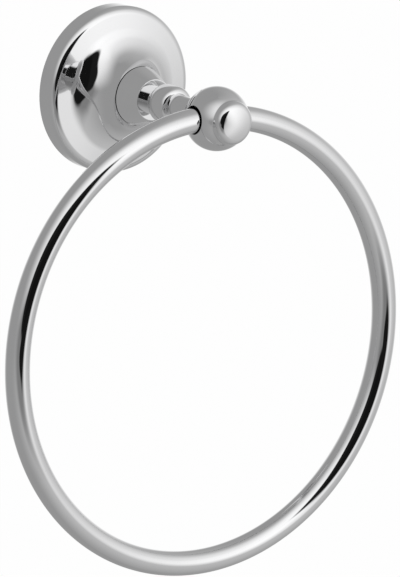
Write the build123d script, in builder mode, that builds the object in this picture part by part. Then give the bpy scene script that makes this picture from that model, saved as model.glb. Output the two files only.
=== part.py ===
"""Towel ring: a loose ring of bent rod hangs in the ball of a turned post, which stands on a round wall rosette."""
import os
from math import cos, radians, sin, sqrt, tan

from build123d import *

# Sizes are in millimetres. The wall is the plane y = 0, +Z is up and the post stands out along -Y.
# A reach is a distance from the wall along the axis of the post.

# Ring of bent rod
ring_outside_d = 152.4
rod_d = 8.0

# Ball of the post, bored across for the ring
ball_d = 20.8
ball_stand_off = 20.7  # from the bead to the centre of the ball
ring_clearance = 0.2
bore_lip = 0.15

# Button on the front of the ball: its side is rounded into a flat dome
button_d = 14.2
button_side = 2.75
button_rise = 0.77
button_round = 0.92  # edge radius, as a share of the side
button_cove = 0.18  # cove radius, as a share of the side

# Necks and bead behind the ball
front_neck_d = 8.2
bead_d = 12.6
bead_length = 8.5
bead_round = 0.94  # edge radius, as a share of the step to the neck
root_neck_d = 9.1
root_neck_length = 4.4
neck_cove_r = 0.6

# Tapered collar at the root of the post, with a spigot in the crown of the rosette
collar_d = 19.0
collar_front_d = 13.4
collar_length = 8.0
collar_edge_r = 0.25
seam_gap = 0.45  # shadow gap between the crown and the collar
seam_depth = 0.9
spigot_d = 13.0
spigot_length = 1.6
spigot_fit = 0.05

# Rosette, a hollow bell that is open at the wall
rim_d = 54.2
rim_height = 6.8
shoulder_r = 2.6
flange_slope = 3.5  # degrees
cove_d = 40.4  # where the flange turns up into the cove
crown_reach = 17.0
crown_lip = 0.05
crown_plate = 3.2
shell_wall = 2.2

# Screw and split washer that hold the post from inside the rosette
post_screw_d = 5.0
post_screw_grip = 9.0  # length in the thread of the post
post_screw_run_out = 1.5
post_screw_point = 0.5
post_screw_play = 0.25
head_d = 9.0
head_height = 3.0
head_edge_r = 0.9
driver_width = 1.3
driver_span = 5.0
driver_depth = 1.6
washer_d = 9.0
washer_thickness = 1.2
washer_slit = 0.8
thread_fit = 0.05

# Plate that is screwed to the wall inside the rosette
bracket_thickness = 3.6
bracket_play = 0.3
bracket_undercut = 1.8
bracket_window_d = 12.0
wall_screw_spacing = 26.0
wall_screw_hole_d = 4.6
wall_screw_head_d = 9.0
wall_screw_head_angle = 90

# Headless screw under the rim that locks the rosette on the plate
set_screw_d = 3.0
set_screw_reach = 2.2
set_screw_sunk = 0.3
set_screw_gap = 0.05
set_socket_width = 1.5
set_socket_depth = 1.0

# Reaches that follow from the sizes above
spigot_back = crown_reach - spigot_length
collar_back = crown_reach + seam_gap
collar_face = crown_reach + collar_length
bead_start = collar_face + root_neck_length
bead_end = bead_start + bead_length
ball_reach = bead_end + ball_stand_off
crown_back = spigot_back - crown_plate
washer_back = crown_back - washer_thickness

# Radii and centres that follow from the sizes above
rod_r = rod_d / 2
ball_r = ball_d / 2
button_r = button_d / 2
bead_r = bead_d / 2
front_neck_r = front_neck_d / 2
root_neck_r = root_neck_d / 2
collar_r = collar_d / 2
collar_front_r = collar_front_d / 2
seat_r = collar_r - seam_depth
spigot_r = spigot_d / 2
rim_r = rim_d / 2
rim_inside_r = rim_r - shell_wall
post_screw_r = post_screw_d / 2
set_screw_r = set_screw_d / 2

# The rod curves inside the straight bore, so the bore has room for half of that curve above and below it.
ring_mid_r = ring_outside_d / 2 - rod_r
ring_rise = (ring_mid_r - sqrt(ring_mid_r**2 - ball_r**2)) / 2
bore_r = rod_r + ring_rise + ring_clearance

# The flange rises a little from the corner of the rim, and a cove that is tangent to it ends at the crown.
slope = radians(flange_slope)
flange_out = Vector(sin(slope), cos(slope))
rim_corner = Vector(rim_r, rim_height)
crown_corner = Vector(collar_r + crown_lip, crown_reach)
cove_start = Vector(cove_d / 2, rim_height + (rim_r - cove_d / 2) * tan(slope))
cove_run = crown_corner - cove_start
cove_r = cove_run.length**2 / (2 * cove_run.dot(flange_out))
cove_centre = cove_start + flange_out * cove_r
flange_run = cove_start - rim_corner

# The hollow follows the flange and the cove at the thickness of the wall.
hollow_rim = Vector(rim_inside_r, rim_height + shell_wall * tan(slope) - shell_wall / cos(slope))
hollow_start = cove_start - flange_out * shell_wall
hollow_r = cove_centre.X - sqrt((cove_r + shell_wall) ** 2 - (cove_centre.Y - crown_back) ** 2)


def corner(sketch, point):
    """The corner of a sketch that lies at a point."""
    return sketch.vertices().sort_by_distance(point)[0]


# Half sections lie in this plane: its first axis is the radius and its second the reach.
section = Plane(origin=(0, 0, 0), x_dir=(0, 0, 1), z_dir=(1, 0, 0))
post_axis = Axis((0, 0, 0), (0, -1, 0))

# Rosette: one hollow bell with a rounded shoulder, a flange, a cove and a pocket for the spigot
pocket_r = spigot_r + spigot_fit
with BuildPart() as rosette:
    with BuildSketch(section) as bell:
        with BuildLine():
            Polyline((rim_inside_r, 0), (rim_r, 0), rim_corner, cove_start)
            TangentArc(cove_start, crown_corner, tangent=flange_run)
            Polyline(
                crown_corner,
                (pocket_r, crown_reach),
                (pocket_r, spigot_back),
                (post_screw_r + post_screw_play, spigot_back),
                (post_screw_r + post_screw_play, crown_back),
                (hollow_r, crown_back),
            )
            TangentArc(hollow_start, (hollow_r, crown_back), tangent=flange_run)
            Polyline(hollow_start, hollow_rim, (rim_inside_r, 0))
        make_face()
        fillet(corner(bell, rim_corner), radius=shoulder_r)
    revolve(axis=post_axis)
    with BuildSketch(Plane(origin=(0, -set_screw_reach, -rim_r), z_dir=(0, 0, 1))):
        Circle(set_screw_r + thread_fit)
    extrude(amount=2 * shell_wall, both=True, mode=Mode.SUBTRACT)
rosette.part.label = "rosette"

# Post: turned in one piece, with a spigot, a collar, two necks, a bead, the ball and its button
screw_hole_r = post_screw_r + thread_fit
screw_hole_end = spigot_back + post_screw_grip + post_screw_run_out
ball_back = ball_reach - sqrt(ball_r**2 - front_neck_r**2)
ball_front = ball_reach + sqrt(ball_r**2 - button_r**2)
button_edge = ball_front + button_side
tip = button_edge + button_rise
bore_section = Plane(origin=(0, -ball_reach, 0), x_dir=(1, 0, 0), z_dir=(0, -1, 0))
bore_straight = sqrt(ball_r**2 - bore_r**2) - bore_lip  # half of the stretch between the bevelled mouths
bore_end = ball_r + bore_lip
bore_flare_r = bore_r + bore_end - bore_straight
with BuildPart() as post:
    with BuildSketch(section) as turned:
        with BuildLine():
            Polyline(
                (0, tip),
                (0, screw_hole_end),
                (screw_hole_r, screw_hole_end),
                (screw_hole_r, spigot_back),
                (spigot_r, spigot_back),
                (spigot_r, crown_reach),
                (seat_r, crown_reach),
                (seat_r, collar_back),
                (collar_r, collar_back),
                (collar_front_r, collar_face),
                (root_neck_r, collar_face),
                (root_neck_r, bead_start),
                (bead_r, bead_start),
                (bead_r, bead_end),
                (front_neck_r, bead_end),
                (front_neck_r, ball_back),
            )
            ThreePointArc((front_neck_r, ball_back), (ball_r, ball_reach), (button_r, ball_front))
            Line((button_r, ball_front), (button_r, button_edge))
            TangentArc((0, tip), (button_r, button_edge), tangent=(1, 0))
        make_face()
        fillet(corner(turned, (collar_front_r, collar_face)), radius=collar_edge_r)
        fillet(corner(turned, (bead_r, bead_start)), radius=bead_round * (bead_r - root_neck_r))
        fillet(corner(turned, (bead_r, bead_end)), radius=bead_round * (bead_r - front_neck_r))
        fillet(corner(turned, (front_neck_r, ball_back)), radius=neck_cove_r)
        fillet(corner(turned, (button_r, ball_front)), radius=button_cove * button_side)
        fillet(corner(turned, (button_r, button_edge)), radius=button_round * button_side)
    revolve(axis=post_axis)
    with BuildSketch(bore_section):
        with BuildLine():
            Polyline(
                (-bore_end, 0),
                (-bore_end, bore_flare_r),
                (-bore_straight, bore_r),
                (bore_straight, bore_r),
                (bore_end, bore_flare_r),
                (bore_end, 0),
                close=True,
            )
        make_face()
    revolve(axis=Axis((0, -ball_reach, 0), (1, 0, 0)), mode=Mode.SUBTRACT)
post.part.label = "post"

# Ring: one bent rod, closed and polished after it is threaded through the ball
ring_top = Vector(0, -ball_reach, ring_rise)
ring_axis = Axis(ring_top - Vector(0, 0, ring_mid_r), (0, 1, 0))
with BuildPart() as ring:
    with BuildSketch(Plane(origin=ring_top, z_dir=(1, 0, 0))):
        Circle(rod_r)
    revolve(axis=ring_axis)
ring.part.label = "ring"

# Split washer under the head of the post's screw
washer_plane = Plane(origin=(0, -crown_back, 0), x_dir=(1, 0, 0), z_dir=(0, 1, 0))
with BuildPart() as lock_washer:
    with BuildSketch(washer_plane):
        Circle(washer_d / 2)
        Circle(post_screw_r + post_screw_play, mode=Mode.SUBTRACT)
        Rectangle(washer_d, washer_slit, align=(Align.MIN, Align.CENTER), mode=Mode.SUBTRACT)
    extrude(amount=washer_thickness)
lock_washer.part.label = "lock_washer"

# Screw that holds the post, with a rounded head and a cross recess
head_back = washer_back - head_height
post_screw_end = spigot_back + post_screw_grip
head_plane = Plane(origin=(0, -head_back, 0), x_dir=(1, 0, 0), z_dir=(0, 1, 0))
with BuildPart() as post_screw:
    with BuildSketch(section) as shank:
        with BuildLine():
            Polyline(
                (0, head_back),
                (head_d / 2, head_back),
                (head_d / 2, washer_back),
                (post_screw_r, washer_back),
                (post_screw_r, post_screw_end),
                (0, post_screw_end),
                close=True,
            )
        make_face()
        fillet(corner(shank, (head_d / 2, head_back)), radius=head_edge_r)
        chamfer(corner(shank, (post_screw_r, post_screw_end)), length=post_screw_point)
    revolve(axis=post_axis)
    with BuildSketch(head_plane):
        Rectangle(driver_span, driver_width)
        Rectangle(driver_width, driver_span)
    extrude(amount=-driver_depth, mode=Mode.SUBTRACT)
post_screw.part.label = "post_screw"

# Wall plate: its edge is undercut so that the headless screw draws the rosette to the wall
bracket_front_r = rim_inside_r - bracket_play
bracket_back_r = bracket_front_r - bracket_undercut
bracket_front = Plane(origin=(0, -bracket_thickness, 0), x_dir=(1, 0, 0), z_dir=(0, -1, 0))
with BuildPart() as wall_bracket:
    with BuildSketch(section):
        with BuildLine():
            Polyline(
                (bracket_window_d / 2, 0),
                (bracket_back_r, 0),
                (bracket_front_r, bracket_thickness),
                (bracket_window_d / 2, bracket_thickness),
                close=True,
            )
        make_face()
    revolve(axis=post_axis)
    with Locations(bracket_front):
        with GridLocations(wall_screw_spacing, 0, 2, 1):
            CounterSinkHole(
                radius=wall_screw_hole_d / 2,
                counter_sink_radius=wall_screw_head_d / 2,
                counter_sink_angle=wall_screw_head_angle,
            )
wall_bracket.part.label = "wall_bracket"

# Headless screw: a cone point on the undercut edge and a six-sided socket under the rim
undercut_slope = bracket_undercut / bracket_thickness
set_screw_tip = bracket_back_r + undercut_slope * set_screw_reach + set_screw_gap
set_screw_end = rim_r - set_screw_sunk
set_section = Plane(origin=(0, -set_screw_reach, 0), x_dir=(1, 0, 0), z_dir=(0, 1, 0))
with BuildPart() as set_screw:
    with BuildSketch(set_section):
        with BuildLine():
            Polyline(
                (0, set_screw_tip),
                (set_screw_r, set_screw_tip + set_screw_r),
                (set_screw_r, set_screw_end),
                (0, set_screw_end),
                close=True,
            )
        make_face()
    revolve(axis=Axis((0, -set_screw_reach, 0), (0, 0, 1)))
    with BuildSketch(Plane(origin=(0, -set_screw_reach, -set_screw_end), z_dir=(0, 0, 1))):
        RegularPolygon(radius=set_socket_width / 2, side_count=6, major_radius=False)
    extrude(amount=set_socket_depth, mode=Mode.SUBTRACT)
set_screw.part.label = "set_screw"

os.makedirs("parts", exist_ok=True)
for piece in (rosette, post, ring, lock_washer, post_screw, wall_bracket, set_screw):
    export_step(piece.part, f"parts/{piece.part.label}.step")
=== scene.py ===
"""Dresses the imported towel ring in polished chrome, with steel fixings, and sets it in a small studio."""

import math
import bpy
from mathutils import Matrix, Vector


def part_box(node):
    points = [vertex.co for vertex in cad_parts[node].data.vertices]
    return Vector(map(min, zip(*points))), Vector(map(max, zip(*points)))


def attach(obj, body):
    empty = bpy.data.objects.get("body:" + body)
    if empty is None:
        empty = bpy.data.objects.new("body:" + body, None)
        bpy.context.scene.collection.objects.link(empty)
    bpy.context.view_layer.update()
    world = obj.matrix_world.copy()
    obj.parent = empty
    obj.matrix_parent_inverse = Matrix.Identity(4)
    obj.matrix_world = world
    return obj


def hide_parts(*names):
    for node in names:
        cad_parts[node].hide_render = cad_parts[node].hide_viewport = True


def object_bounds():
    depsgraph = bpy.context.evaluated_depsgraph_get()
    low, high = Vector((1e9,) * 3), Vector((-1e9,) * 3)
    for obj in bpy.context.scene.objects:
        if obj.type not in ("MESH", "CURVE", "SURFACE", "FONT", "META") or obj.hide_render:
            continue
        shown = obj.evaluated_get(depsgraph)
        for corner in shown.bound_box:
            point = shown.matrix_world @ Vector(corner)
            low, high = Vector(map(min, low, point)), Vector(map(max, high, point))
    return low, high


bl_info = {
    "name": "Towel Ring",
    "version": (1, 0, 0),
    "blender": (4, 5, 0),
    "location": "View3D > Sidebar > Towel Ring",
    "description": "Models the chrome pieces of a wall towel ring on its packed parts and sets its studio",
    "category": "Object",
}

import bmesh
import bpy
from mathutils import Matrix, Vector

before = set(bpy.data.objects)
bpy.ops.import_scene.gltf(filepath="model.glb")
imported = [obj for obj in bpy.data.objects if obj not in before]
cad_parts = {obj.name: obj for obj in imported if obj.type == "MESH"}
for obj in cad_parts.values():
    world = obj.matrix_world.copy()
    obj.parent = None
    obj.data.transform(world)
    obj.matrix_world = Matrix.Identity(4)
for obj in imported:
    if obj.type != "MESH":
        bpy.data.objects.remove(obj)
CAD_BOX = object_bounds()

# Lengths are in metres. The wall is the plane y = 0, +Z is up and the post stands out along -Y.
# A reach is a distance from the wall along the axis of the post.
RING_LOW, RING_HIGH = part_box("ring")
POST_LOW, POST_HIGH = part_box("post")
ROSETTE_LOW, ROSETTE_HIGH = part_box("rosette")

# The picture that the camera frames, in pixels, the sensor along its long side in millimetres,
# and how far the camera sees
PICTURE_SIZE = (400, 577)
SENSOR_WIDTH = 36.0
SIGHT = 100.0

# Fineness of the spun meshes
TURN_STEPS = 192
ROD_STEPS = 56
RING_STEPS = 384
ARC_STEP = math.radians(3.0)
SMALL_ARC_STEP = math.radians(9.0)
SMALL_ARC_R = 0.0008
EDGE_LOOP = 0.00015
LEAST_RUN = 4 * EDGE_LOOP
WELD = 1e-6
CREASE = math.radians(28.0)

# Polish: the part of the noise that shows as clouding, and the share of the lines in the roughness
CLOUD_LOW, CLOUD_HIGH = 0.35, 0.7
LINE_SHARE = 0.1

# Room round the light tent
FLOOR_HALF = 30.0
FLOOR_ROUGHNESS = 0.9
ROOM_GREY = (0.9, 0.9, 0.9, 1.0)
ROOM_LIGHT = 0.8
WHITE = (1.0, 1.0, 1.0, 1.0)
TENT_STEPS = (48, 24)
HALF_TURN = 180.0

# Panels of the light tent: level, bearing, height, half width, half height, turn, fade and roundness.
# A bearing is in degrees from the front, positive to the right, and a height in degrees above the horizon.
TENT_LEVEL = 0.298
TENT_PANELS = {
    "side_glow": (0.514, 37.1, 4.8, 74.7, 60.0, 27.3, 0.95, 1.53),
    "back_glow": (0.896, 143.9, -0.8, 35.5, 17.2, -0.1, 0.95, 4.0),
    "overhead_sheet": (0.85, -0.9, 31.9, 64.6, 31.4, -8.4, 0.66, 2.26),
    "key_lamp": (1.0, 16.3, 24.4, 27.5, 11.1, -38.3, 0.9, 3.15),
    "front_sheet": (1.15, -5.4, 0.6, 36.7, 15.8, -7.3, 0.56, 2.5),
    "low_shade": (0.2, -18.0, -3.8, 41.2, 26.1, -4.8, 0.33, 1.5),
    "dark_flag": (0.01, -15.0, 13.0, 30.0, 20.0, -3.0, 0.09, 2.6),
    "dark_flag_foot": (0.006, -3.0, 2.0, 24.0, 18.0, -12.0, 0.12, 1.7),
    "dark_flag_hem": (0.008, -6.0, -9.0, 20.0, 6.0, 2.0, 0.15, 1.8),
}


def length(name, description, default):
    """A length that a user may change."""
    return bpy.props.FloatProperty(
        name=name,
        description=description,
        default=default,
        min=0.0,
        precision=5,
        subtype="DISTANCE",
        unit="LENGTH",
    )


def angle(name, description, degrees):
    """An angle that a user may change."""
    return bpy.props.FloatProperty(
        name=name, description=description, default=math.radians(degrees), subtype="ANGLE", unit="ROTATION"
    )


def colour(name, description, default):
    """A colour that a user may change."""
    return bpy.props.FloatVectorProperty(
        name=name, description=description, default=default, size=3, min=0.0, max=1.0, subtype="COLOR"
    )


def share(name, description, default):
    """A share between 0 and 1 that a user may change."""
    return bpy.props.FloatProperty(
        name=name, description=description, default=default, min=0.0, max=1.0, subtype="FACTOR"
    )


def number(name, description, default, least=0.0):
    """A plain number that a user may change."""
    return bpy.props.FloatProperty(name=name, description=description, default=default, min=least)


class RosetteSizes(bpy.types.PropertyGroup):
    """Sizes of the hollow bell on the wall."""

    rim_d: length("Rim", "Diameter of the rim on the wall", ROSETTE_HIGH.x - ROSETTE_LOW.x)
    rim_height: length("Rim height", "Reach of the rim's corner before it is rounded", 0.0068)
    shoulder_r: length("Shoulder", "Radius of the rounded shoulder", 0.0026)
    flange_slope: angle("Flange slope", "Rise of the flange from the rim to the cove", 3.5)
    cove_d: length("Cove", "Diameter where the flange turns up into the cove", 0.0404)
    crown_reach: length("Crown reach", "Reach of the crown", -ROSETTE_LOW.y)
    crown_d: length("Crown", "Diameter of the crown's edge", 0.0191)
    shell_wall: length("Wall", "Thickness of the hollow bell", 0.0022)
    crown_back: length("Crown back", "Reach of the crown's inner face", 0.0122)
    pocket_d: length("Pocket", "Diameter of the pocket for the post's spigot", 0.0131)
    screw_hole_d: length("Screw hole", "Diameter of the hole for the post's screw", 0.0055)
    set_screw_d: length("Set screw hole", "Diameter of the hole under the rim", 0.0031)
    set_screw_reach: length("Set screw reach", "Reach of the hole under the rim", 0.0022)


class PostSizes(bpy.types.PropertyGroup):
    """Sizes of the turned post."""

    tip_reach: length("Tip", "Reach of the button's tip", -POST_LOW.y)
    button_d: length("Button", "Diameter of the button", 0.0142)
    button_rise: length("Button rise", "Rise of the button's flat dome", 0.00077)
    button_edge_r: length("Button edge", "Radius of the button's rounded edge", 0.00253)
    button_cove_r: length("Button cove", "Radius of the cove between ball and button", 0.000495)
    ball_reach: length("Ball reach", "Reach of the ball's centre", -(RING_LOW.y + RING_HIGH.y) / 2)
    ball_d: length("Ball", "Diameter of the ball", 0.0208)
    bore_d: length("Bore", "Diameter of the bore for the ring", 0.009153)
    bore_lip: length("Bore lip", "Depth of the bevel at the bore's mouths", 0.00015)
    front_neck_d: length("Front neck", "Diameter of the neck behind the ball", 0.0082)
    neck_cove_r: length("Neck cove", "Radius of the cove between neck and ball", 0.0006)
    bead_d: length("Bead", "Diameter of the bead", 0.0126)
    bead_end: length("Bead end", "Reach of the bead's front face", 0.0379)
    bead_start: length("Bead start", "Reach of the bead's back face", 0.0294)
    bead_front_r: length("Bead front edge", "Radius of the bead's front edge", 0.002068)
    bead_back_r: length("Bead back edge", "Radius of the bead's back edge", 0.001645)
    root_neck_d: length("Root neck", "Diameter of the neck at the collar", 0.0091)
    collar_d: length("Collar", "Diameter of the tapered collar at the rosette", 0.019)
    collar_front_d: length("Collar front", "Diameter of the collar's front face", 0.0134)
    collar_face: length("Collar face", "Reach of the collar's front face", 0.025)
    collar_edge_r: length("Collar edge", "Radius of the collar's front edge", 0.00025)
    collar_back: length("Collar back", "Reach of the collar's back, in front of the shadow gap", 0.01745)
    seat_d: length("Seat", "Diameter of the seat in the shadow gap", 0.0172)
    spigot_d: length("Spigot", "Diameter of the spigot in the rosette's crown", 0.013)
    spigot_back: length("Spigot back", "Reach of the spigot's back", -POST_HIGH.y)
    screw_hole_d: length("Screw hole", "Diameter of the threaded hole", 0.0051)
    screw_hole_end: length("Screw hole end", "Reach of the end of the threaded hole", 0.0259)


class RingSizes(bpy.types.PropertyGroup):
    """Sizes of the hanging ring."""

    outside_d: length("Ring", "Outside diameter of the ring", RING_HIGH.x - RING_LOW.x)
    rod_d: length("Rod", "Diameter of the bent rod", RING_HIGH.y - RING_LOW.y)
    top: length("Top", "Height of the ring's highest point", RING_HIGH.z)


class Finishes(bpy.types.PropertyGroup):
    """Colours of the plated and bare metal."""

    chrome: colour("Chrome", "Colour of the polished plating", (0.78, 0.78, 0.785))
    bracket: colour("Bracket", "Colour of the plated wall bracket", (0.62, 0.62, 0.6))
    fastener: colour("Fastener", "Colour of the screws and the washer", (0.5, 0.5, 0.5))


class StudioSettings(bpy.types.PropertyGroup):
    """Camera and light tent."""

    bearing: angle("Bearing", "Camera's bearing from the front, positive to the right", -37.060)
    height: angle("Height", "Camera's height above the horizon", 10.798)
    roll: angle("Roll", "Camera's roll about its line of sight", 3.581)
    distance: length("Distance", "Distance from the camera to the ball", 3.6)
    pixels: number("Pixels", "Picture pixels in one metre at the ball", 3160.0, least=1.0)
    ball_across: number("Ball across", "Pixels from the picture's left side to the ball's centre", 216.694)
    ball_down: number("Ball down", "Pixels from the picture's top to the ball's centre", 118.508)
    tent_r: length("Tent", "Radius of the light tent", 1.5)
    tent_gain: number("Tent gain", "Level of the tent's light", 1.25)
    floor_drop: length("Floor", "Depth of the floor under the post", 1.65)
    floor: colour("Floor colour", "Colour of the plain floor", (0.93, 0.93, 0.93))
    floor_glow: share("Floor glow", "Share of the floor's look that stays white in the picture", 0.97)


class TowelRingSettings(bpy.types.PropertyGroup):
    """All the sizes and colours of the towel ring."""

    rosette: bpy.props.PointerProperty(name="Rosette", description="Wall flange", type=RosetteSizes)
    post: bpy.props.PointerProperty(name="Post", description="Turned post", type=PostSizes)
    ring: bpy.props.PointerProperty(name="Ring", description="Hanging ring", type=RingSizes)
    finishes: bpy.props.PointerProperty(name="Finishes", description="Metal finishes", type=Finishes)
    studio: bpy.props.PointerProperty(name="Studio", description="Camera and light", type=StudioSettings)


class Turning:
    """A half section that is drawn point by point as (radius, reach) and then spun about its own axis."""

    def __init__(self, origin, out, side, start):
        self.origin, self.out, self.side = Vector(origin), Vector(out), Vector(side)
        self.bm = bmesh.new()
        self.end = self.bm.verts.new(self.place(start))

    def place(self, point):
        """The place of a point of the section."""
        radius, reach = point
        return self.origin + self.out * reach + self.side * radius

    def _to(self, place):
        """Draws the section on to a place."""
        new = bmesh.ops.extrude_vert_indiv(self.bm, verts=[self.end])["verts"][0]
        new.co = place
        self.end = new

    def line(self, *points):
        """Straight runs, each with a loop beside its two ends that keeps its surface straight."""
        for point in points:
            start, end = self.end.co.copy(), self.place(point)
            run = end - start
            if run.length > LEAST_RUN:
                inset = run.normalized() * EDGE_LOOP
                self._to(start + inset)
                self._to(end - inset)
            self._to(end)

    def arc(self, centre, point):
        """An arc about a centre, as far as a point."""
        hub, end = self.place(centre), self.place(point)
        axis = self.side.cross(self.out)
        before, after = self.end.co - hub, end - hub
        turn = math.atan2(before.cross(after).dot(axis), before.dot(after))
        step = SMALL_ARC_STEP if before.length < SMALL_ARC_R else ARC_STEP
        spun = bmesh.ops.spin(
            self.bm,
            geom=[self.end],
            cent=hub,
            axis=axis,
            dvec=(0, 0, 0),
            angle=turn,
            steps=max(2, math.ceil(abs(turn) / step)),
        )
        self.end = next(v for v in spun["geom_last"] if isinstance(v, bmesh.types.BMVert))
        if (self.end.co - end).length > WELD:
            raise RuntimeError(f"an arc of the section misses its end by {(self.end.co - end).length:.2e} m")

    def spun(self, name):
        """The turned solid, as an object."""
        bmesh.ops.spin(
            self.bm,
            geom=self.bm.verts[:] + self.bm.edges[:],
            cent=self.origin,
            axis=self.out,
            dvec=(0, 0, 0),
            angle=2 * math.pi,
            steps=TURN_STEPS,
            use_merge=True,
        )
        return piece_from(self.bm, name)


def crease(bm):
    """Smooth faces with sharp edges where the surface turns."""
    for face in bm.faces:
        face.smooth = True
    for edge in bm.edges:
        edge.smooth = edge.calc_face_angle(math.pi) < CREASE


def piece_from(bm, name):
    """A closed piece from a bmesh, welded and facing outwards."""
    bmesh.ops.remove_doubles(bm, verts=bm.verts[:], dist=WELD)
    bmesh.ops.recalc_face_normals(bm, faces=bm.faces[:])
    open_edges = [edge for edge in bm.edges if len(edge.link_faces) != 2]
    if open_edges:
        raise RuntimeError(f"{name} is not closed: {len(open_edges)} open edges")
    crease(bm)
    mesh = bpy.data.meshes.new(name)
    bm.to_mesh(mesh)
    bm.free()
    piece = bpy.data.objects.new(name, mesh)
    bpy.context.scene.collection.objects.link(piece)
    return piece


def cut_away(piece, cutter):
    """Cuts one piece out of another and removes the cutter."""
    cut = piece.modifiers.new("cut", "BOOLEAN")
    cut.operation = "DIFFERENCE"
    cut.solver = "EXACT"
    cut.object = cutter
    shaped = bpy.data.meshes.new_from_object(piece.evaluated_get(bpy.context.evaluated_depsgraph_get()))
    piece.modifiers.clear()
    whole, piece.data = piece.data, shaped
    shaped.name = piece.name
    bpy.data.meshes.remove(whole)
    tool = cutter.data
    bpy.data.objects.remove(cutter)
    bpy.data.meshes.remove(tool)
    bm = bmesh.new()
    bm.from_mesh(shaped)
    crease(bm)
    bm.to_mesh(shaped)
    bm.free()


def toward(start, end, distance):
    """The point at a distance from a start on the line to an end, in a section."""
    start, end = Vector(start), Vector(end)
    return start + (end - start).normalized() * distance


def finish_piece(piece, material, body, node):
    """Gives a piece its material and its place in the frame."""
    piece.data.materials.clear()
    piece.data.materials.append(material)
    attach(piece, body)
    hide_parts(node)


def new_group(name, inputs, outputs):
    """An empty shader node group with its input and output nodes."""
    group = bpy.data.node_groups.new(name, "ShaderNodeTree")
    for label, kind, default in inputs:
        socket = group.interface.new_socket(label, in_out="INPUT", socket_type=kind)
        socket.default_value = default
    for label, kind in outputs:
        group.interface.new_socket(label, in_out="OUTPUT", socket_type=kind)
    return group, group.nodes.new("NodeGroupInput"), group.nodes.new("NodeGroupOutput")


def math_node(tree, operation, *values):
    """A Math node whose inputs are numbers or sockets; its output is returned."""
    node = tree.nodes.new("ShaderNodeMath")
    node.operation = operation
    for socket, value in zip(node.inputs, values):
        if isinstance(value, bpy.types.NodeSocket):
            tree.links.new(value, socket)
        else:
            socket.default_value = value
    return node.outputs[0]


def ramp(tree, value, from_low, from_high, to_low, to_high, kind="LINEAR"):
    """A Map Range node; its output is returned."""
    node = tree.nodes.new("ShaderNodeMapRange")
    node.interpolation_type = kind
    for socket, number in zip(node.inputs, (value, from_low, from_high, to_low, to_high)):
        if isinstance(number, bpy.types.NodeSocket):
            tree.links.new(number, socket)
        else:
            socket.default_value = number
    return node.outputs[0]


def noise(tree, vector, scale, detail, roughness=0.5):
    """A Noise Texture node; its value is returned."""
    node = tree.nodes.new("ShaderNodeTexNoise")
    tree.links.new(vector, node.inputs["Vector"])
    for label, value in (("Scale", scale), ("Detail", detail), ("Roughness", roughness)):
        if isinstance(value, bpy.types.NodeSocket):
            tree.links.new(value, node.inputs[label])
        else:
            node.inputs[label].default_value = value
    return node.outputs["Fac"]


def polish_group():
    """Polished or turned metal: lines round an axis along Y, soft clouding and a slight wave."""
    found = bpy.data.node_groups.get("metal_polish")
    if found:
        return found
    group, given, out = new_group(
        "metal_polish",
        [
            ("Vector", "NodeSocketVector", (0, 0, 0)),
            ("Line Scale", "NodeSocketFloat", 4000.0),
            ("Cloud Scale", "NodeSocketFloat", 45.0),
            ("Wave Scale", "NodeSocketFloat", 70.0),
            ("Roughness Low", "NodeSocketFloat", 0.03),
            ("Roughness High", "NodeSocketFloat", 0.06),
            ("Line Depth", "NodeSocketFloat", 0.1),
            ("Tint Low", "NodeSocketFloat", 0.97),
        ],
        [
            ("Tint", "NodeSocketFloat"),
            ("Roughness", "NodeSocketFloat"),
            ("Height", "NodeSocketFloat"),
        ],
    )
    link = group.links.new
    parts = group.nodes.new("ShaderNodeSeparateXYZ")
    link(given.outputs["Vector"], parts.inputs[0])
    squares = math_node(
        group,
        "ADD",
        math_node(group, "MULTIPLY", parts.outputs["X"], parts.outputs["X"]),
        math_node(group, "MULTIPLY", parts.outputs["Z"], parts.outputs["Z"]),
    )
    across = group.nodes.new("ShaderNodeCombineXYZ")
    link(math_node(group, "SQRT", squares), across.inputs["X"])
    link(parts.outputs["Y"], across.inputs["Y"])
    lines = noise(group, across.outputs[0], given.outputs["Line Scale"], detail=2.0)
    clouds = noise(group, given.outputs["Vector"], given.outputs["Cloud Scale"], detail=4.0, roughness=0.6)
    waves = noise(group, given.outputs["Vector"], given.outputs["Wave Scale"], detail=1.0, roughness=0.4)
    smudge = ramp(group, clouds, CLOUD_LOW, CLOUD_HIGH, 0.0, 1.0)
    rough = ramp(group, smudge, 0.0, 1.0, given.outputs["Roughness Low"], given.outputs["Roughness High"])
    level = math_node(group, "SUBTRACT", lines, 0.5)
    scored = math_node(group, "MULTIPLY", level, given.outputs["Line Depth"])
    uneven = math_node(group, "ADD", rough, math_node(group, "MULTIPLY", scored, LINE_SHARE))
    link(uneven, out.inputs["Roughness"])
    link(ramp(group, smudge, 0.0, 1.0, 1.0, given.outputs["Tint Low"]), out.inputs["Tint"])
    link(math_node(group, "ADD", waves, scored), out.inputs["Height"])
    return group


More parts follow.
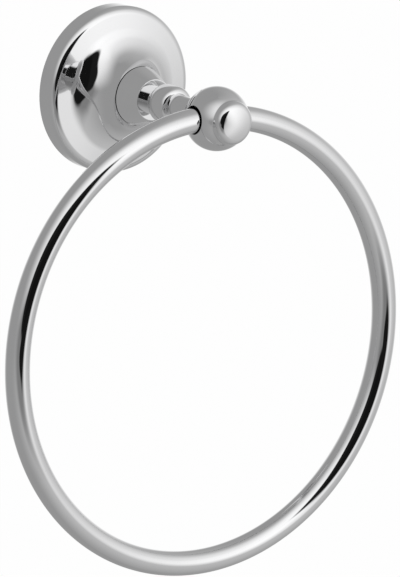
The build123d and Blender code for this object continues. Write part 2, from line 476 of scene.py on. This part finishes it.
def metal(name, base, centre, bump, **values):
    """A metal whose polish runs round an axis along Y through a centre; bump is how uneven it is."""
    material = bpy.data.materials.new(name)
    material.use_nodes = True
    tree = material.node_tree
    shader = tree.nodes["Principled BSDF"]
    shader.inputs["Metallic"].default_value = 1.0
    place = tree.nodes.new("ShaderNodeTexCoord")
    shift = tree.nodes.new("ShaderNodeMapping")
    shift.inputs["Location"].default_value = -Vector(centre)
    tree.links.new(place.outputs["Object"], shift.inputs["Vector"])
    polish = tree.nodes.new("ShaderNodeGroup")
    polish.node_tree = polish_group()
    tree.links.new(shift.outputs["Vector"], polish.inputs["Vector"])
    for label, value in values.items():
        polish.inputs[label.replace("_", " ").title()].default_value = value
    tint = tree.nodes.new("ShaderNodeMix")
    tint.data_type = "RGBA"
    tint.blend_type = "MULTIPLY"
    tint.inputs["Factor"].default_value = 1.0
    colour_in, grey_in = [s for s in tint.inputs if s.type == "RGBA"]
    colour_in.default_value = (*base, 1.0)
    tree.links.new(polish.outputs["Tint"], grey_in)
    tree.links.new(next(s for s in tint.outputs if s.type == "RGBA"), shader.inputs["Base Color"])
    tree.links.new(polish.outputs["Roughness"], shader.inputs["Roughness"])
    relief = tree.nodes.new("ShaderNodeBump")
    relief.inputs["Strength"].default_value = 1.0
    relief.inputs["Distance"].default_value = bump
    tree.links.new(polish.outputs["Height"], relief.inputs["Height"])
    tree.links.new(relief.outputs["Normal"], shader.inputs["Normal"])
    return material


class TOWEL_RING_OT_rosette(bpy.types.Operator):
    """Turns the hollow rosette and drills its set screw's hole"""

    bl_idname = "towel_ring.rosette"
    bl_label = "Rosette"

    def execute(self, context):
        s = context.scene.towel_ring.rosette
        post = context.scene.towel_ring.post
        rim_r, cove_x, pocket_r, hole_r = s.rim_d / 2, s.cove_d / 2, s.pocket_d / 2, s.screw_hole_d / 2
        inside_r, rise = rim_r - s.shell_wall, math.tan(s.flange_slope)
        flange_out = Vector((math.sin(s.flange_slope), math.cos(s.flange_slope)))
        start = Vector((cove_x, s.rim_height + (rim_r - cove_x) * rise))
        lip = Vector((s.crown_d / 2, s.crown_reach))
        run = lip - start
        cove_r = run.length_squared / (2 * run.dot(flange_out))
        cove = start + flange_out * cove_r
        shoulder = Vector((rim_r - s.shoulder_r, s.rim_height + s.shoulder_r * (rise - 1 / flange_out.y)))
        hollow_r = cove.x - math.sqrt((cove_r + s.shell_wall) ** 2 - (cove.y - s.crown_back) ** 2)
        bell = Turning((0, 0, 0), (0, -1, 0), (0, 0, 1), (inside_r, 0))
        bell.line((rim_r, 0), (rim_r, shoulder.y))
        bell.arc(shoulder, shoulder + flange_out * s.shoulder_r)
        bell.line(start)
        bell.arc(cove, lip)
        bell.line(
            (pocket_r, s.crown_reach),
            (pocket_r, post.spigot_back),
            (hole_r, post.spigot_back),
            (hole_r, s.crown_back),
            (hollow_r, s.crown_back),
        )
        bell.arc(cove, start - flange_out * s.shell_wall)
        bell.line((inside_r, s.rim_height + s.shell_wall * (rise - 1 / flange_out.y)), (inside_r, 0))
        piece = bell.spun("rosette_bell")
        drill_r, drill_start, drill_end = s.set_screw_d / 2, rim_r - 2 * s.shell_wall, rim_r + s.shell_wall
        hole = Turning((0, -s.set_screw_reach, 0), (0, 0, -1), (1, 0, 0), (0, drill_start))
        hole.line((drill_r, drill_start), (drill_r, drill_end), (0, drill_end))
        cut_away(piece, hole.spun("set_screw_hole"))
        chrome = metal(
            "plated_casting",
            context.scene.towel_ring.finishes.chrome,
            (0, 0, 0),
            bump=0.00001,
            wave_scale=60.0,
            cloud_scale=50.0,
            roughness_low=0.03,
            roughness_high=0.055,
        )
        finish_piece(piece, chrome, "wall_mount", "rosette")
        return {"FINISHED"}


class TOWEL_RING_OT_post(bpy.types.Operator):
    """Turns the post with its collar, necks, bead, ball and button, and bores the ball"""

    bl_idname = "towel_ring.post"
    bl_label = "Post"

    def execute(self, context):
        s = context.scene.towel_ring.post
        crown_reach = context.scene.towel_ring.rosette.crown_reach
        ball_r, button_r, neck_r = s.ball_d / 2, s.button_d / 2, s.front_neck_d / 2
        root_r, bead_r, hole_r = s.root_neck_d / 2, s.bead_d / 2, s.screw_hole_d / 2
        ball = Vector((0, s.ball_reach))
        dome_r = (button_r**2 + s.button_rise**2) / (2 * s.button_rise)
        dome = Vector((0, s.tip_reach - dome_r))
        edge_x = button_r - s.button_edge_r
        edge = Vector((edge_x, dome.y + math.sqrt((dome_r - s.button_edge_r) ** 2 - edge_x**2)))
        cove_x = button_r + s.button_cove_r
        cove = Vector((cove_x, ball.y + math.sqrt((ball_r + s.button_cove_r) ** 2 - cove_x**2)))
        neck_x = neck_r + s.neck_cove_r
        neck = Vector((neck_x, ball.y - math.sqrt((ball_r + s.neck_cove_r) ** 2 - neck_x**2)))
        front_x = s.collar_front_d / 2
        taper = Vector((front_x - s.collar_d / 2, s.collar_face - s.collar_back)).normalized()
        taper_out = Vector((taper.y, -taper.x))
        front = Vector((front_x, s.collar_face - s.collar_edge_r))
        front.x += s.collar_edge_r * (taper_out.y - 1) / taper_out.x
        bead_front = Vector((bead_r - s.bead_front_r, s.bead_end - s.bead_front_r))
        bead_back = Vector((bead_r - s.bead_back_r, s.bead_start + s.bead_back_r))

        turned = Turning((0, 0, 0), (0, -1, 0), (0, 0, 1), (0, s.tip_reach))
        turned.arc(dome, toward(dome, edge, dome_r))
        turned.arc(edge, (button_r, edge.y))
        turned.line((button_r, cove.y))
        turned.arc(cove, toward(ball, cove, ball_r))
        turned.arc(ball, toward(ball, neck, ball_r))
        turned.arc(neck, (neck_r, neck.y))
        turned.line((neck_r, s.bead_end), (bead_front.x, s.bead_end))
        turned.arc(bead_front, (bead_r, bead_front.y))
        turned.line((bead_r, bead_back.y))
        turned.arc(bead_back, (bead_back.x, s.bead_start))
        turned.line((root_r, s.bead_start), (root_r, s.collar_face), (front.x, s.collar_face))
        turned.arc(front, front + taper_out * s.collar_edge_r)
        turned.line(
            (s.collar_d / 2, s.collar_back),
            (s.seat_d / 2, s.collar_back),
            (s.seat_d / 2, crown_reach),
            (s.spigot_d / 2, crown_reach),
            (s.spigot_d / 2, s.spigot_back),
            (hole_r, s.spigot_back),
            (hole_r, s.screw_hole_end),
            (0, s.screw_hole_end),
        )
        piece = turned.spun("turned_post")

        bore_r = s.bore_d / 2
        straight = math.sqrt(ball_r**2 - bore_r**2) - s.bore_lip
        end = ball_r + s.bore_lip
        flare_r = bore_r + end - straight
        bore = Turning((0, -s.ball_reach, 0), (1, 0, 0), (0, 0, 1), (0, -end))
        bore.line((flare_r, -end), (bore_r, -straight), (bore_r, straight), (flare_r, end), (0, end))
        cut_away(piece, bore.spun("ring_bore"))
        chrome = metal(
            "plated_turning",
            context.scene.towel_ring.finishes.chrome,
            (0, 0, 0),
            bump=0.000006,
            wave_scale=90.0,
            cloud_scale=80.0,
            roughness_low=0.025,
            roughness_high=0.05,
        )
        finish_piece(piece, chrome, "wall_mount", "post")
        return {"FINISHED"}


class TOWEL_RING_OT_ring(bpy.types.Operator):
    """Bends the rod into the closed ring that hangs in the ball"""

    bl_idname = "towel_ring.ring"
    bl_label = "Ring"

    def execute(self, context):
        s = context.scene.towel_ring.ring
        reach = context.scene.towel_ring.post.ball_reach
        centre = Vector((0, -reach, s.top - s.outside_d / 2))
        bm = bmesh.new()
        stand = Matrix.Translation((0, -reach, s.top - s.rod_d / 2)) @ Matrix.Rotation(math.pi / 2, 4, "Y")
        bmesh.ops.create_circle(bm, radius=s.rod_d / 2, segments=ROD_STEPS, cap_ends=False, matrix=stand)
        bmesh.ops.spin(
            bm,
            geom=bm.verts[:] + bm.edges[:],
            cent=centre,
            axis=(0, 1, 0),
            dvec=(0, 0, 0),
            angle=2 * math.pi,
            steps=RING_STEPS,
            use_merge=True,
        )
        piece = piece_from(bm, "bent_ring")
        chrome = metal(
            "plated_rod",
            context.scene.towel_ring.finishes.chrome,
            centre,
            bump=0.000006,
            wave_scale=70.0,
            cloud_scale=45.0,
            roughness_low=0.03,
            roughness_high=0.06,
        )
        finish_piece(piece, chrome, "hanging_ring", "ring")
        return {"FINISHED"}


class TOWEL_RING_OT_fixings(bpy.types.Operator):
    """Finishes the wall bracket, its set screw, and the post's screw and washer"""

    bl_idname = "towel_ring.fixings"
    bl_label = "Fixings"

    def execute(self, context):
        colours = context.scene.towel_ring.finishes
        zinc = metal(
            "bracket_steel",
            colours.bracket,
            (0, 0, 0),
            bump=0.00003,
            line_scale=2500.0,
            line_depth=1.2,
            cloud_scale=220.0,
            wave_scale=120.0,
            roughness_low=0.28,
            roughness_high=0.42,
            tint_low=0.82,
        )
        steel = metal(
            "fastener_steel",
            colours.fastener,
            (0, 0, 0),
            bump=0.00002,
            line_scale=3500.0,
            line_depth=0.8,
            cloud_scale=500.0,
            wave_scale=300.0,
            roughness_low=0.3,
            roughness_high=0.45,
            tint_low=0.75,
        )
        for node, material in (
            ("wall_bracket", zinc),
            ("set_screw", steel),
            ("post_screw", steel),
            ("lock_washer", steel),
        ):
            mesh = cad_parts[node].data
            mesh.materials.clear()
            mesh.materials.append(material)
        return {"FINISHED"}


def panel_group():
    """A soft rounded patch at a bearing and a height round the object, as a mask."""
    group, given, out = new_group(
        "tent_panel",
        [
            ("Bearing", "NodeSocketFloat", 0.0),
            ("Height", "NodeSocketFloat", 0.0),
            ("Centre Bearing", "NodeSocketFloat", 0.0),
            ("Centre Height", "NodeSocketFloat", 0.0),
            ("Half Width", "NodeSocketFloat", 30.0),
            ("Half Height", "NodeSocketFloat", 30.0),
            ("Turn", "NodeSocketFloat", 0.0),
            ("Fade", "NodeSocketFloat", 0.5),
            ("Roundness", "NodeSocketFloat", 2.0),
        ],
        [("Mask", "NodeSocketFloat")],
    )
    put = given.outputs
    aim = math_node(group, "SUBTRACT", put["Bearing"], put["Centre Bearing"])
    across = math_node(group, "WRAP", aim, HALF_TURN, -HALF_TURN)
    up = math_node(group, "SUBTRACT", put["Height"], put["Centre Height"])
    turn = math_node(group, "RADIANS", put["Turn"])
    cos, sin = math_node(group, "COSINE", turn), math_node(group, "SINE", turn)
    along = math_node(group, "MULTIPLY_ADD", across, cos, math_node(group, "MULTIPLY", up, sin))
    raised, slid = math_node(group, "MULTIPLY", up, cos), math_node(group, "MULTIPLY", across, sin)
    aside = math_node(group, "SUBTRACT", raised, slid)
    powers = []
    for run, half in ((along, put["Half Width"]), (aside, put["Half Height"])):
        part = math_node(group, "ABSOLUTE", math_node(group, "DIVIDE", run, half))
        powers.append(math_node(group, "POWER", part, put["Roundness"]))
    root = math_node(group, "DIVIDE", 1.0, put["Roundness"])
    radius = math_node(group, "POWER", math_node(group, "ADD", *powers), root)
    low, high = math_node(group, "SUBTRACT", 1.0, put["Fade"]), math_node(group, "ADD", 1.0, put["Fade"])
    group.links.new(ramp(group, radius, low, high, 1.0, 0.0, "SMOOTHSTEP"), out.inputs["Mask"])
    return group


def tent_material(centre, gain):
    """Soft panels and dark flags on the inside of the light tent."""
    material = bpy.data.materials.new("light_tent")
    material.use_nodes = True
    tree = material.node_tree
    tree.nodes.clear()
    link = tree.links.new
    place = tree.nodes.new("ShaderNodeTexCoord")
    away = tree.nodes.new("ShaderNodeVectorMath")
    away.operation = "SUBTRACT"
    away.inputs[1].default_value = centre
    link(place.outputs["Object"], away.inputs[0])
    unit = tree.nodes.new("ShaderNodeVectorMath")
    unit.operation = "NORMALIZE"
    link(away.outputs[0], unit.inputs[0])
    parts = tree.nodes.new("ShaderNodeSeparateXYZ")
    link(unit.outputs[0], parts.inputs[0])
    front = math_node(tree, "MULTIPLY", parts.outputs["Y"], -1.0)
    bearing = math_node(tree, "DEGREES", math_node(tree, "ARCTAN2", parts.outputs["X"], front))
    height = math_node(tree, "DEGREES", math_node(tree, "ARCSINE", parts.outputs["Z"]))
    group = panel_group()
    level = TENT_LEVEL
    for name, (light, *shape) in TENT_PANELS.items():
        panel = tree.nodes.new("ShaderNodeGroup")
        panel.node_tree = group
        panel.label = name
        link(bearing, panel.inputs["Bearing"])
        link(height, panel.inputs["Height"])
        for socket, value in zip(panel.inputs[2:], shape):
            socket.default_value = value
        level = ramp(tree, panel.outputs["Mask"], 0.0, 1.0, level, light)
    glow = tree.nodes.new("ShaderNodeEmission")
    link(math_node(tree, "MULTIPLY", level, gain), glow.inputs["Strength"])
    out = tree.nodes.new("ShaderNodeOutputMaterial")
    link(glow.outputs[0], out.inputs["Surface"])
    return material


def shown_rays(tree):
    """1 for the rays that show the background: those of the camera, of reflections and of clear pieces."""
    path = tree.nodes.new("ShaderNodeLightPath")
    first = math_node(tree, "MAXIMUM", path.outputs["Is Camera Ray"], path.outputs["Is Glossy Ray"])
    return math_node(tree, "MAXIMUM", first, path.outputs["Is Transmission Ray"])


class TOWEL_RING_OT_studio(bpy.types.Operator):
    """Sets the floor, the light tent, the world and the camera"""

    bl_idname = "towel_ring.studio"
    bl_label = "Studio"

    def execute(self, context):
        s = context.scene.towel_ring.studio
        middle = (CAD_BOX[0] + CAD_BOX[1]) / 2
        self.floor(context, s)
        self.tent(context, s, middle)
        self.world(context)
        self.camera(context, s)
        context.scene.view_settings.view_transform = "Standard"
        return {"FINISHED"}

    def floor(self, context, s):
        """A plain floor that stays nearly white in the picture."""
        bm = bmesh.new()
        bmesh.ops.create_grid(bm, x_segments=1, y_segments=1, size=FLOOR_HALF)
        bmesh.ops.translate(bm, verts=bm.verts[:], vec=(0, 0, -s.floor_drop))
        mesh = bpy.data.meshes.new("floor")
        bm.to_mesh(mesh)
        bm.free()
        floor = bpy.data.objects.new("floor", mesh)
        context.scene.collection.objects.link(floor)
        paper = bpy.data.materials.new("pale_floor")
        paper.use_nodes = True
        tree = paper.node_tree
        shader = tree.nodes["Principled BSDF"]
        shader.inputs["Roughness"].default_value = FLOOR_ROUGHNESS
        shader.inputs["Base Color"].default_value = (*s.floor, 1.0)
        white = tree.nodes.new("ShaderNodeEmission")
        mix = tree.nodes.new("ShaderNodeMixShader")
        tree.links.new(math_node(tree, "MULTIPLY", shown_rays(tree), s.floor_glow), mix.inputs["Fac"])
        tree.links.new(shader.outputs[0], mix.inputs[1])
        tree.links.new(white.outputs[0], mix.inputs[2])
        tree.links.new(mix.outputs[0], tree.nodes["Material Output"].inputs["Surface"])
        mesh.materials.append(paper)

    def tent(self, context, s, middle):
        """The light tent, which lights the pieces and is not seen itself."""
        bm = bmesh.new()
        round_steps, height_steps = TENT_STEPS
        bmesh.ops.create_uvsphere(
            bm,
            u_segments=round_steps,
            v_segments=height_steps,
            radius=s.tent_r,
            matrix=Matrix.Translation(middle),
        )
        bmesh.ops.reverse_faces(bm, faces=bm.faces[:])
        mesh = bpy.data.meshes.new("light_tent")
        bm.to_mesh(mesh)
        bm.free()
        tent = bpy.data.objects.new("light_tent", mesh)
        context.scene.collection.objects.link(tent)
        mesh.materials.append(tent_material(middle, s.tent_gain))
        tent.visible_camera = False

    def world(self, context):
        """A pale room that is white in the picture."""
        world = bpy.data.worlds.new("white_room")
        context.scene.world = world
        world.use_nodes = True
        tree = world.node_tree
        plain = tree.nodes["Background"]
        plain.inputs["Color"].default_value = ROOM_GREY
        plain.inputs["Strength"].default_value = ROOM_LIGHT
        white = tree.nodes.new("ShaderNodeBackground")
        white.inputs["Color"].default_value = WHITE
        mix = tree.nodes.new("ShaderNodeMixShader")
        tree.links.new(shown_rays(tree), mix.inputs["Fac"])
        tree.links.new(plain.outputs[0], mix.inputs[1])
        tree.links.new(white.outputs[0], mix.inputs[2])
        tree.links.new(mix.outputs[0], tree.nodes["World Output"].inputs["Surface"])

    def camera(self, context, s):
        """A camera that has the ball at its place in the picture."""
        ball = Vector((0, -context.scene.towel_ring.post.ball_reach, 0))
        back = Vector(
            (
                math.sin(s.bearing) * math.cos(s.height),
                -math.cos(s.bearing) * math.cos(s.height),
                math.sin(s.height),
            )
        )
        right = Vector((math.cos(s.bearing), math.sin(s.bearing), 0))
        up = back.cross(right)
        across = right * math.cos(s.roll) + up * math.sin(s.roll)
        upright = up * math.cos(s.roll) - right * math.sin(s.roll)
        wide, tall = PICTURE_SIZE
        place = ball + back * s.distance
        place -= across * ((s.ball_across - wide / 2) / s.pixels)
        place += upright * ((s.ball_down - tall / 2) / s.pixels)
        data = bpy.data.cameras.new("camera")
        data.sensor_width = SENSOR_WIDTH
        data.lens = s.pixels * s.distance * SENSOR_WIDTH / tall
        data.clip_end = SIGHT
        camera = bpy.data.objects.new("camera", data)
        turn = Matrix((across, upright, back)).transposed()
        camera.matrix_world = Matrix.Translation(place) @ turn.to_4x4()
        context.scene.collection.objects.link(camera)
        context.scene.camera = camera


class TOWEL_RING_PT_panel(bpy.types.Panel):
    """Lists the towel ring's pieces, sizes and finishes"""

    bl_idname = "TOWEL_RING_PT_panel"
    bl_label = "Towel Ring"
    bl_space_type = "VIEW_3D"
    bl_region_type = "UI"
    bl_category = "Towel Ring"

    def draw(self, context):
        settings = context.scene.towel_ring
        for operator in OPERATORS:
            self.layout.operator(operator.bl_idname)
        for group in (settings.rosette, settings.post, settings.ring, settings.finishes, settings.studio):
            box = self.layout.box()
            for name in group.__annotations__:
                box.prop(group, name)


OPERATORS = (
    TOWEL_RING_OT_rosette,
    TOWEL_RING_OT_post,
    TOWEL_RING_OT_ring,
    TOWEL_RING_OT_fixings,
    TOWEL_RING_OT_studio,
)
CLASSES = (
    RosetteSizes,
    PostSizes,
    RingSizes,
    Finishes,
    StudioSettings,
    TowelRingSettings,
    *OPERATORS,
    TOWEL_RING_PT_panel,
)


def register():
    """Adds the classes and the scene's settings."""
    for cls in CLASSES:
        bpy.utils.register_class(cls)
    bpy.types.Scene.towel_ring = bpy.props.PointerProperty(
        name="Towel ring", description="Sizes and colours of the towel ring", type=TowelRingSettings
    )


def unregister():
    """Removes the scene's settings and the classes."""
    del bpy.types.Scene.towel_ring
    for cls in reversed(CLASSES):
        bpy.utils.unregister_class(cls)


def main():
    """Builds the pieces and the studio."""
    register()
    bpy.ops.towel_ring.rosette()
    bpy.ops.towel_ring.post()
    bpy.ops.towel_ring.ring()
    bpy.ops.towel_ring.fixings()
    bpy.ops.towel_ring.studio()


if __name__ == "__main__":
    main()
